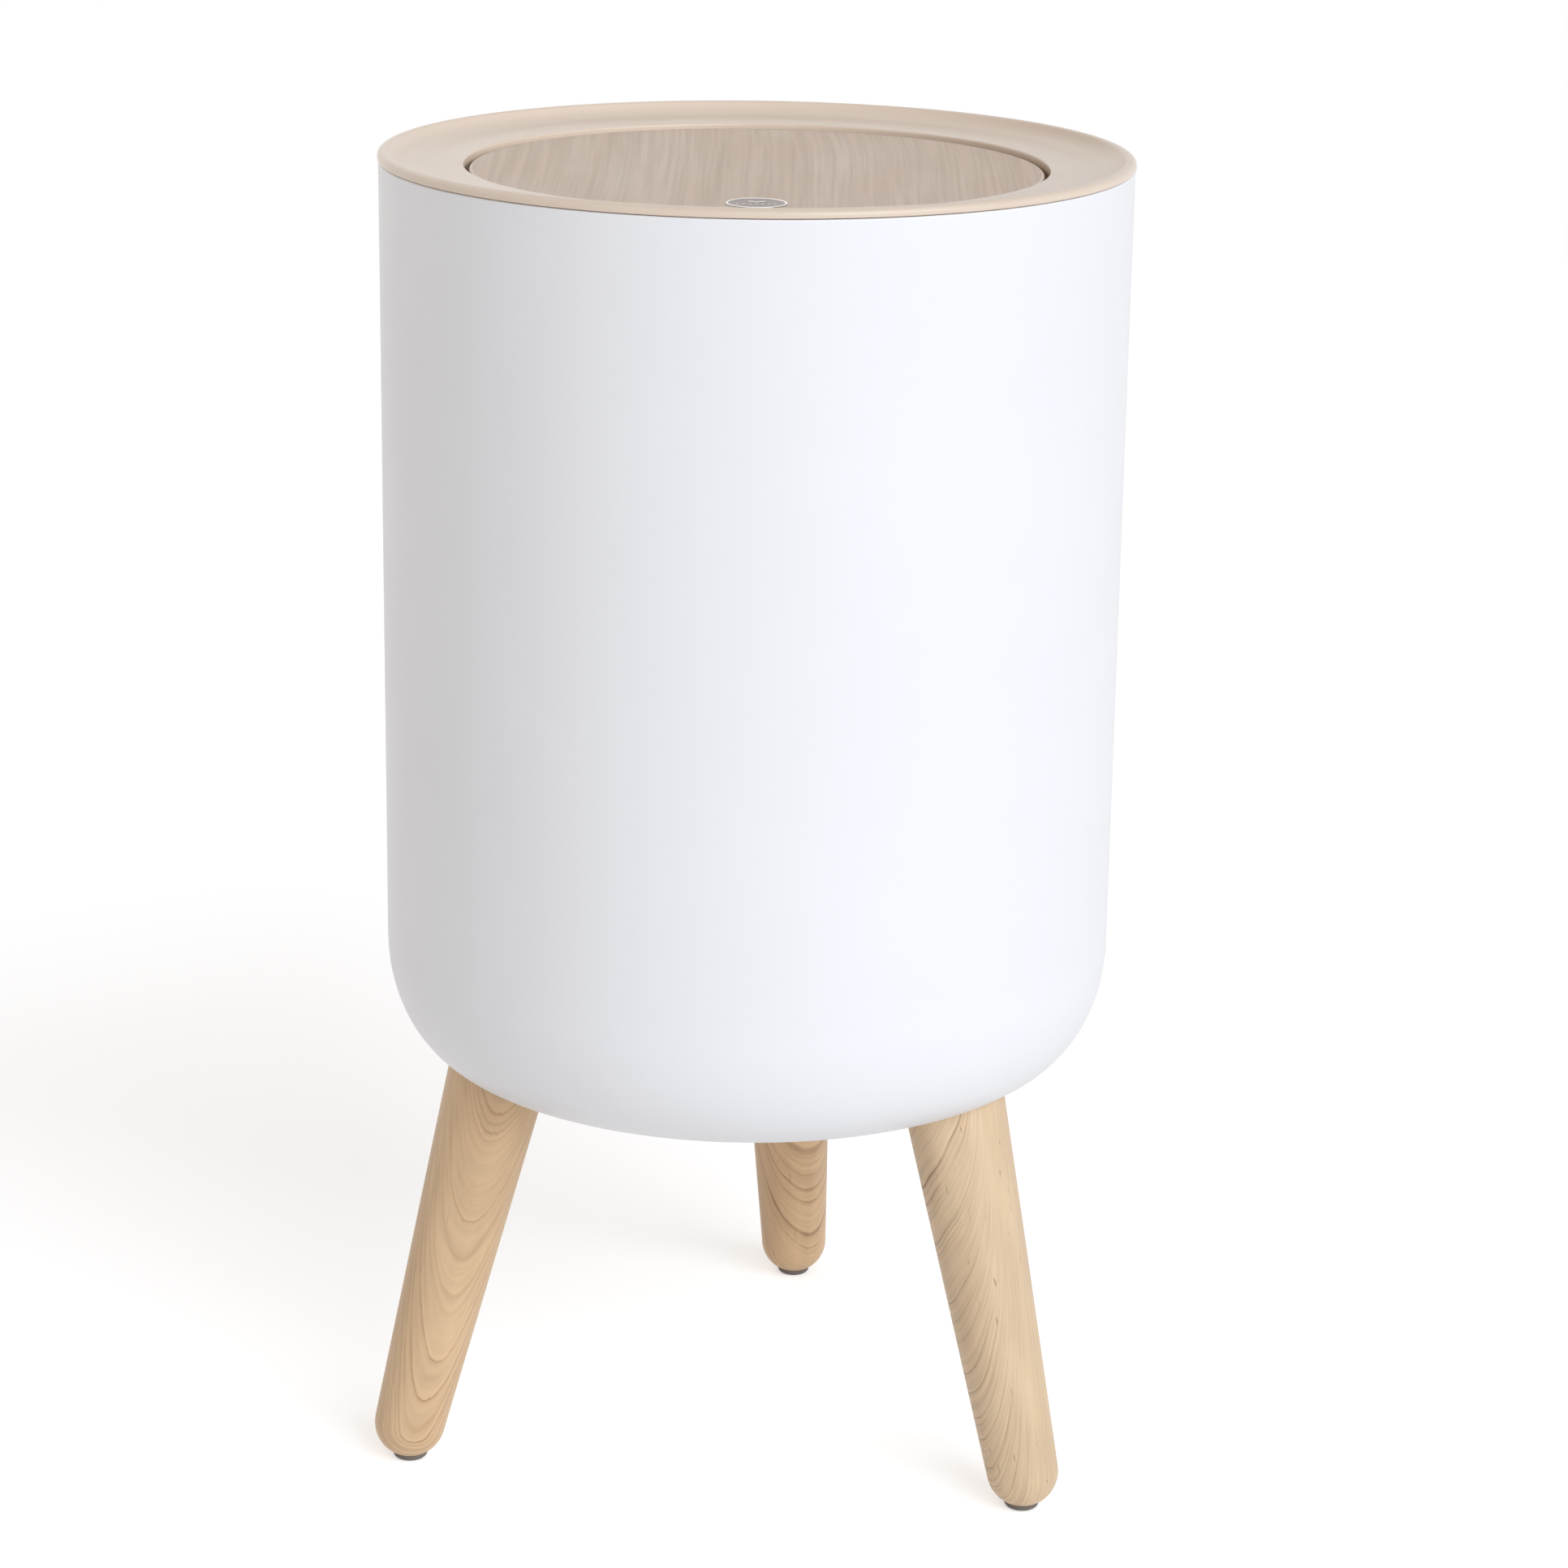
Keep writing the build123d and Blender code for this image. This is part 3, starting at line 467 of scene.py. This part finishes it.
def oakFilm(name, film):
    # printed oak pattern on film: long fine streaks front to back that wander a little, with soft paler and darker
    # bands and patches
    material, tree, shader, coords = startMaterial(name, Roughness=film["roughness"], IOR=1.5)

    def stretched(vector, size, detail, distortion=0.0):
        # noise that many mm wide (X) and long (Y)
        place = vectorReckoned(tree, "MULTIPLY", vector, (1000 / size[0], 1000 / size[1], 1.0))
        return noiseAt(tree, place, 1.0, detail, distortion)

    def pattern(vector, look):
        noise = stretched(vector, look["size"], look["detail"], look.get("distortion", 0.0))
        return noise, ranged(tree, noise, 0.0, look["strength"], *look["from"])

    # the streaks, lines and bands wander sideways together, the patches stay
    aside = film["aside"] / 1000
    sideways = ranged(tree, stretched(coords, film["wander"], 0.0), -aside, aside)
    shift = addNode(tree, "ShaderNodeCombineXYZ", {"X": sideways})
    drawn = vectorReckoned(tree, "ADD", coords, (shift, "Vector"))
    streaks, streakTone = pattern(drawn, film["streaks"])
    lineTone = pattern(drawn, film["lines"])[1]
    bandTone = pattern(drawn, film["bands"])[1]
    patchTone = pattern(coords, film["patches"])[1]
    dark = toLinear(film["dark"])
    base = mixed(tree, bandTone, toLinear(film["colour"]), toLinear(film["pale"]))
    warmed = mixed(tree, patchTone, base, toLinear(film["warm"]))
    feed(tree, shader, {
        "Base Color": mixed(tree, streakTone, mixed(tree, lineTone, warmed, dark), dark),
        "Normal": bumped(tree, streaks, film["relief"], film["reliefStrength"]),
    })
    return material


dress(["lid_veneer"], oakFilm("printedOakFilm", filmFinish))

# dish is how far the rim's crest stands over its foot; rimFoot and hollow are the shares of it by which the foot and
# the middle of the face lie below the face's own level. slant turns a distance across the chevron's stroke into one
# square to it; dots are counted to each side of the middle one. brush is the length and width of the brushed lines,
# and the metal brightens from dullDrop to brightDrop below the top
badge = {
    "radius": 9.4, "centre": (0.0, -71.5), "foot": 427.2, "top": 428.45, "field": "#857C79", "raised": "#E6E1DE",
    "brush": (6.0, 0.12), "brushTone": (0.9, 1.08, 0.3, 0.7), "brushDepth": 0.02, "brushStrength": 0.5,
    "gloss": (0.3, 0.48), "dullDrop": 0.2, "brightDrop": 0.13,
    "rim": 0.6, "rimMargin": 0.1, "dish": 0.3, "hollow": 0.25, "rimFoot": 0.3, "mark": 0.16,
    "strokeHalf": 0.55, "strokeSlope": 0.18, "chevronReach": 2.2, "chevronFoot": 1.2, "chevronRise": 0.8, "slant": 0.8,
    "dotPitch": 1.9, "dotsAside": 3, "dotDrop": 2.4, "pinhole": 0.05,
    "faceEdge": 1.2, "rimStart": 1.12, "faceSteps": 58, "rimSteps": 22, "turns": 320,
}


def satinBadge(name):
    # stamped aluminium, grey anodised and brushed side to side; the rim and the mark are rubbed bright
    material, tree, shader, coords = startMaterial(name, Metallic=1.0)
    brushScale = (1000 / badge["brush"][0], 1000 / badge["brush"][1], 1.0)
    brushed = addNode(tree, "ShaderNodeMapping", {"Vector": coords, "Scale": brushScale})
    lines = noiseAt(tree, (brushed, "Vector"), 1.0, 3.0)
    parts = addNode(tree, "ShaderNodeSeparateXYZ", {"Vector": coords})
    dull, bright = (badge["top"] - badge["dullDrop"]) / 1000, (badge["top"] - badge["brightDrop"]) / 1000
    raised = ranged(tree, (parts, "Z"), 0.0, 1.0, dull, bright)
    field = mixed(tree, raised, toLinear(badge["field"]), toLinear(badge["raised"]))
    feed(tree, shader, {
        "Base Color": vectorReckoned(tree, "MULTIPLY", field, ranged(tree, lines, *badge["brushTone"])),
        "Roughness": ranged(tree, lines, *badge["gloss"]),
        "Normal": bumped(tree, lines, badge["brushDepth"], badge["brushStrength"]),
    })
    return material


def badgeHeight(x, y, r):
    # the hollowed field, a round rim, and a chevron over a row of raised dots where the distance to the chevron's
    # strokes or to the nearest dot is under half a stroke
    halfRim = badge["rim"] / 2 + badge["rimMargin"]
    rimCentre = badge["radius"] - badge["rim"] / 2 - badge["rimMargin"]
    rim = np.sqrt(np.clip(1 - ((r - rimCentre) / halfRim) ** 2, 0, 1)) * badge["dish"]
    rim = rim - badge["dish"] * badge["rimFoot"]
    field = -badge["dish"] * badge["hollow"] * (1 - (r / badge["radius"]) ** 2)
    height = np.where(r < rimCentre, np.maximum(field, rim), rim)
    strokeX = np.clip(np.abs(x), 0, badge["chevronReach"])
    strokeY = badge["chevronFoot"] + strokeX * badge["chevronRise"]
    toStroke = np.hypot(np.abs(x) - strokeX, y - strokeY) * badge["slant"]
    dotX = np.clip(np.round(x / badge["dotPitch"]), -badge["dotsAside"], badge["dotsAside"]) * badge["dotPitch"]
    toDot = np.hypot(x - dotX, y + badge["dotDrop"])
    mark = np.clip((badge["strokeHalf"] - np.minimum(toStroke, toDot)) / badge["strokeSlope"], 0, 1)
    return height + badge["mark"] * mark * mark * (3 - 2 * mark)


def badgeRelief():
    # polar grid of radius by angle, closer together at the rim, with a wall and two caps
    outer, count = badge["radius"], badge["turns"]
    face = np.linspace(badge["pinhole"], outer - badge["faceEdge"], badge["faceSteps"])
    radii = np.concatenate([face, np.linspace(outer - badge["rimStart"], outer, badge["rimSteps"])])
    angles = np.linspace(0, 2 * np.pi, count, endpoint=False)
    r, a = np.meshgrid(radii, angles, indexing="ij")
    x, y = r * np.cos(a), r * np.sin(a)
    z = badge["top"] - badge["dish"] * (1 - badge["rimFoot"]) + badgeHeight(x, y, r)
    wall = np.stack([outer * np.cos(angles), outer * np.sin(angles), np.full_like(angles, badge["foot"])], -1)
    grid = np.concatenate([np.stack([x, y, z], -1), wall[None]], 0)
    rings = len(grid)
    quads = gridFaces(rings, count)[:, [0, 3, 2, 1]]
    points = np.concatenate([grid.reshape(-1, 3), [[0, 0, z[0].mean()], [0, 0, badge["foot"]]]])
    middle, below = len(points) - 2, len(points) - 1
    start, after = np.arange(count), (np.arange(count) + 1) % count
    last = (rings - 1) * count
    cap = np.stack([np.full(count, middle), start, after], -1)
    base = np.stack([np.full(count, below), last + after, last + start], -1)
    points = points + [badge["centre"][0], badge["centre"][1], 0]
    return points / 1000, quads.tolist() + cap.tolist() + base.tolist()


badgePoints, badgeFaces = badgeRelief()
badgePiece = meshPiece("badge_relief", badgePoints, badgeFaces, satinBadge("brushedAluminium"))
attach(badgePiece, "lid")
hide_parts("push_badge")
print("lid face done")


# the floor's half size and the lamps' distance are in metres. lift is how much light of its own the floor shows to the
# camera; horizon and overhead are the strengths of the sky that lights the object
stand = {
    "floor": "#FAFAFA", "halfSize": 2.4, "lift": 0.46, "horizon": 0.67, "overhead": 0.16, "skyColour": "#FFF9F4",
    "lampsAway": 3.0,
}


def seenDirectly(tree):
    # 1 for rays from the camera, a reflection or glass, 0 for those that light the object
    path = addNode(tree, "ShaderNodeLightPath")
    seen = reckoned(tree, "ADD", (path, "Is Camera Ray"), (path, "Is Glossy Ray"))
    return reckoned(tree, "ADD", seen, (path, "Is Transmission Ray"), use_clamp=True)


def paleFloor():
    material = bpy.data.materials.new("paleFloor")
    material.use_nodes = True
    tree = material.node_tree
    tree.nodes.clear()
    paint = addNode(tree, "ShaderNodeBsdfDiffuse", {"Color": toLinear(stand["floor"])})
    lift = reckoned(tree, "MULTIPLY", seenDirectly(tree), stand["lift"])
    glow = addNode(tree, "ShaderNodeEmission", {"Strength": lift})
    both = addNode(tree, "ShaderNodeAddShader", {0: (paint, "BSDF"), 1: (glow, "Emission")})
    addNode(tree, "ShaderNodeOutputMaterial", {"Surface": (both, "Shader")})
    return material


def studioFloor():
    corners = np.array([(-1, -1, 0), (1, -1, 0), (1, 1, 0), (-1, 1, 0)]) * stand["halfSize"]
    mesh = bpy.data.meshes.new("studioFloor")
    mesh.from_pydata(corners.tolist(), [], [(0, 1, 2, 3)])
    mesh.materials.append(paleFloor())
    floor = bpy.data.objects.new("studioFloor", mesh)
    scene.collection.objects.link(floor)


def softSky():
    # white to look at. What lights the object comes more from the sides than from above, as between white walls
    world = bpy.data.worlds.new("softSky")
    scene.world = world
    world.use_nodes = True
    tree = world.node_tree
    tree.nodes.clear()
    seen = seenDirectly(tree)
    direction = addNode(tree, "ShaderNodeTexCoord")
    rise = addNode(tree, "ShaderNodeSeparateXYZ", {"Vector": (direction, "Generated")})
    given = ranged(tree, (rise, "Z"), stand["horizon"], stand["overhead"])
    strength = addNode(tree, "ShaderNodeMix", {0: seen, 2: given, 3: 1.0})
    tone = mixed(tree, seen, toLinear(stand["skyColour"]), (1, 1, 1, 1))
    sky = addNode(tree, "ShaderNodeBackground", {"Color": tone, "Strength": (strength, 0)})
    addNode(tree, "ShaderNodeOutputWorld", {"Surface": (sky, "Background")})


# both lamps light the floor evenly, as from far away; azimuth is to the right of the front
lamps = {
    "keyLamp": {"azimuth": 36.0, "elevation": 27.0, "spread": 50.0, "strength": 2.08, "colour": "#EDF5FF"},
    "fillLamp": {"azimuth": -135.0, "elevation": 25.0, "spread": 90.0, "strength": 0.4, "colour": "#FFF6EC"},
}


def softLamp(name, lamp):
    data = bpy.data.lights.new(name, "SUN")
    data.energy = lamp["strength"]
    data.angle = math.radians(lamp["spread"])
    data.color = toLinear(lamp["colour"])[:3]
    turn, rise = math.radians(lamp["azimuth"]), math.radians(lamp["elevation"])
    towards = Vector((math.sin(turn) * math.cos(rise), -math.cos(turn) * math.cos(rise), math.sin(rise)))
    shown = bpy.data.objects.new(name, data)
    shown.location = towards * stand["lampsAway"]
    shown.rotation_euler = towards.to_track_quat("Z", "Y").to_euler()
    scene.collection.objects.link(shown)


# camera from a least-squares fit of the rim, the shell's outline, the legs and the pads, in a frame of that many pixels
view = {"focalPixels": 5225.4, "framePixels": 1932, "sensor": 36.0, "distance": 1344.8, "height": 626.94,
        "pitch": 16.664, "yaw": 0.488, "roll": 0.859, "clipEnd": 50000.0}


def placeCamera():
    pitch, yaw, roll = (math.radians(view[key]) for key in ("pitch", "yaw", "roll"))
    right = Vector((math.cos(yaw), -math.sin(yaw), 0))
    forward = Vector((math.sin(yaw) * math.cos(pitch), math.cos(yaw) * math.cos(pitch), -math.sin(pitch)))
    up = right.cross(forward)
    turnedRight = right * math.cos(roll) + up * math.sin(roll)
    turnedUp = up * math.cos(roll) - right * math.sin(roll)
    data = bpy.data.cameras.new("photoCamera")
    data.sensor_width = view["sensor"]
    data.sensor_fit = "HORIZONTAL"
    data.lens = view["focalPixels"] * view["sensor"] / view["framePixels"]
    data.clip_end = view["clipEnd"] / 1000
    camera = bpy.data.objects.new("photoCamera", data)
    place = Matrix.Translation((0, -view["distance"] / 1000, view["height"] / 1000))
    camera.matrix_world = place @ Matrix((turnedRight, turnedUp, -forward)).transposed().to_4x4()
    scene.collection.objects.link(camera)
    scene.camera = camera


studioFloor()
softSky()
for name, lamp in lamps.items():
    softLamp(name, lamp)
placeCamera()
scene.view_settings.view_transform = "Standard"
print("studio done")
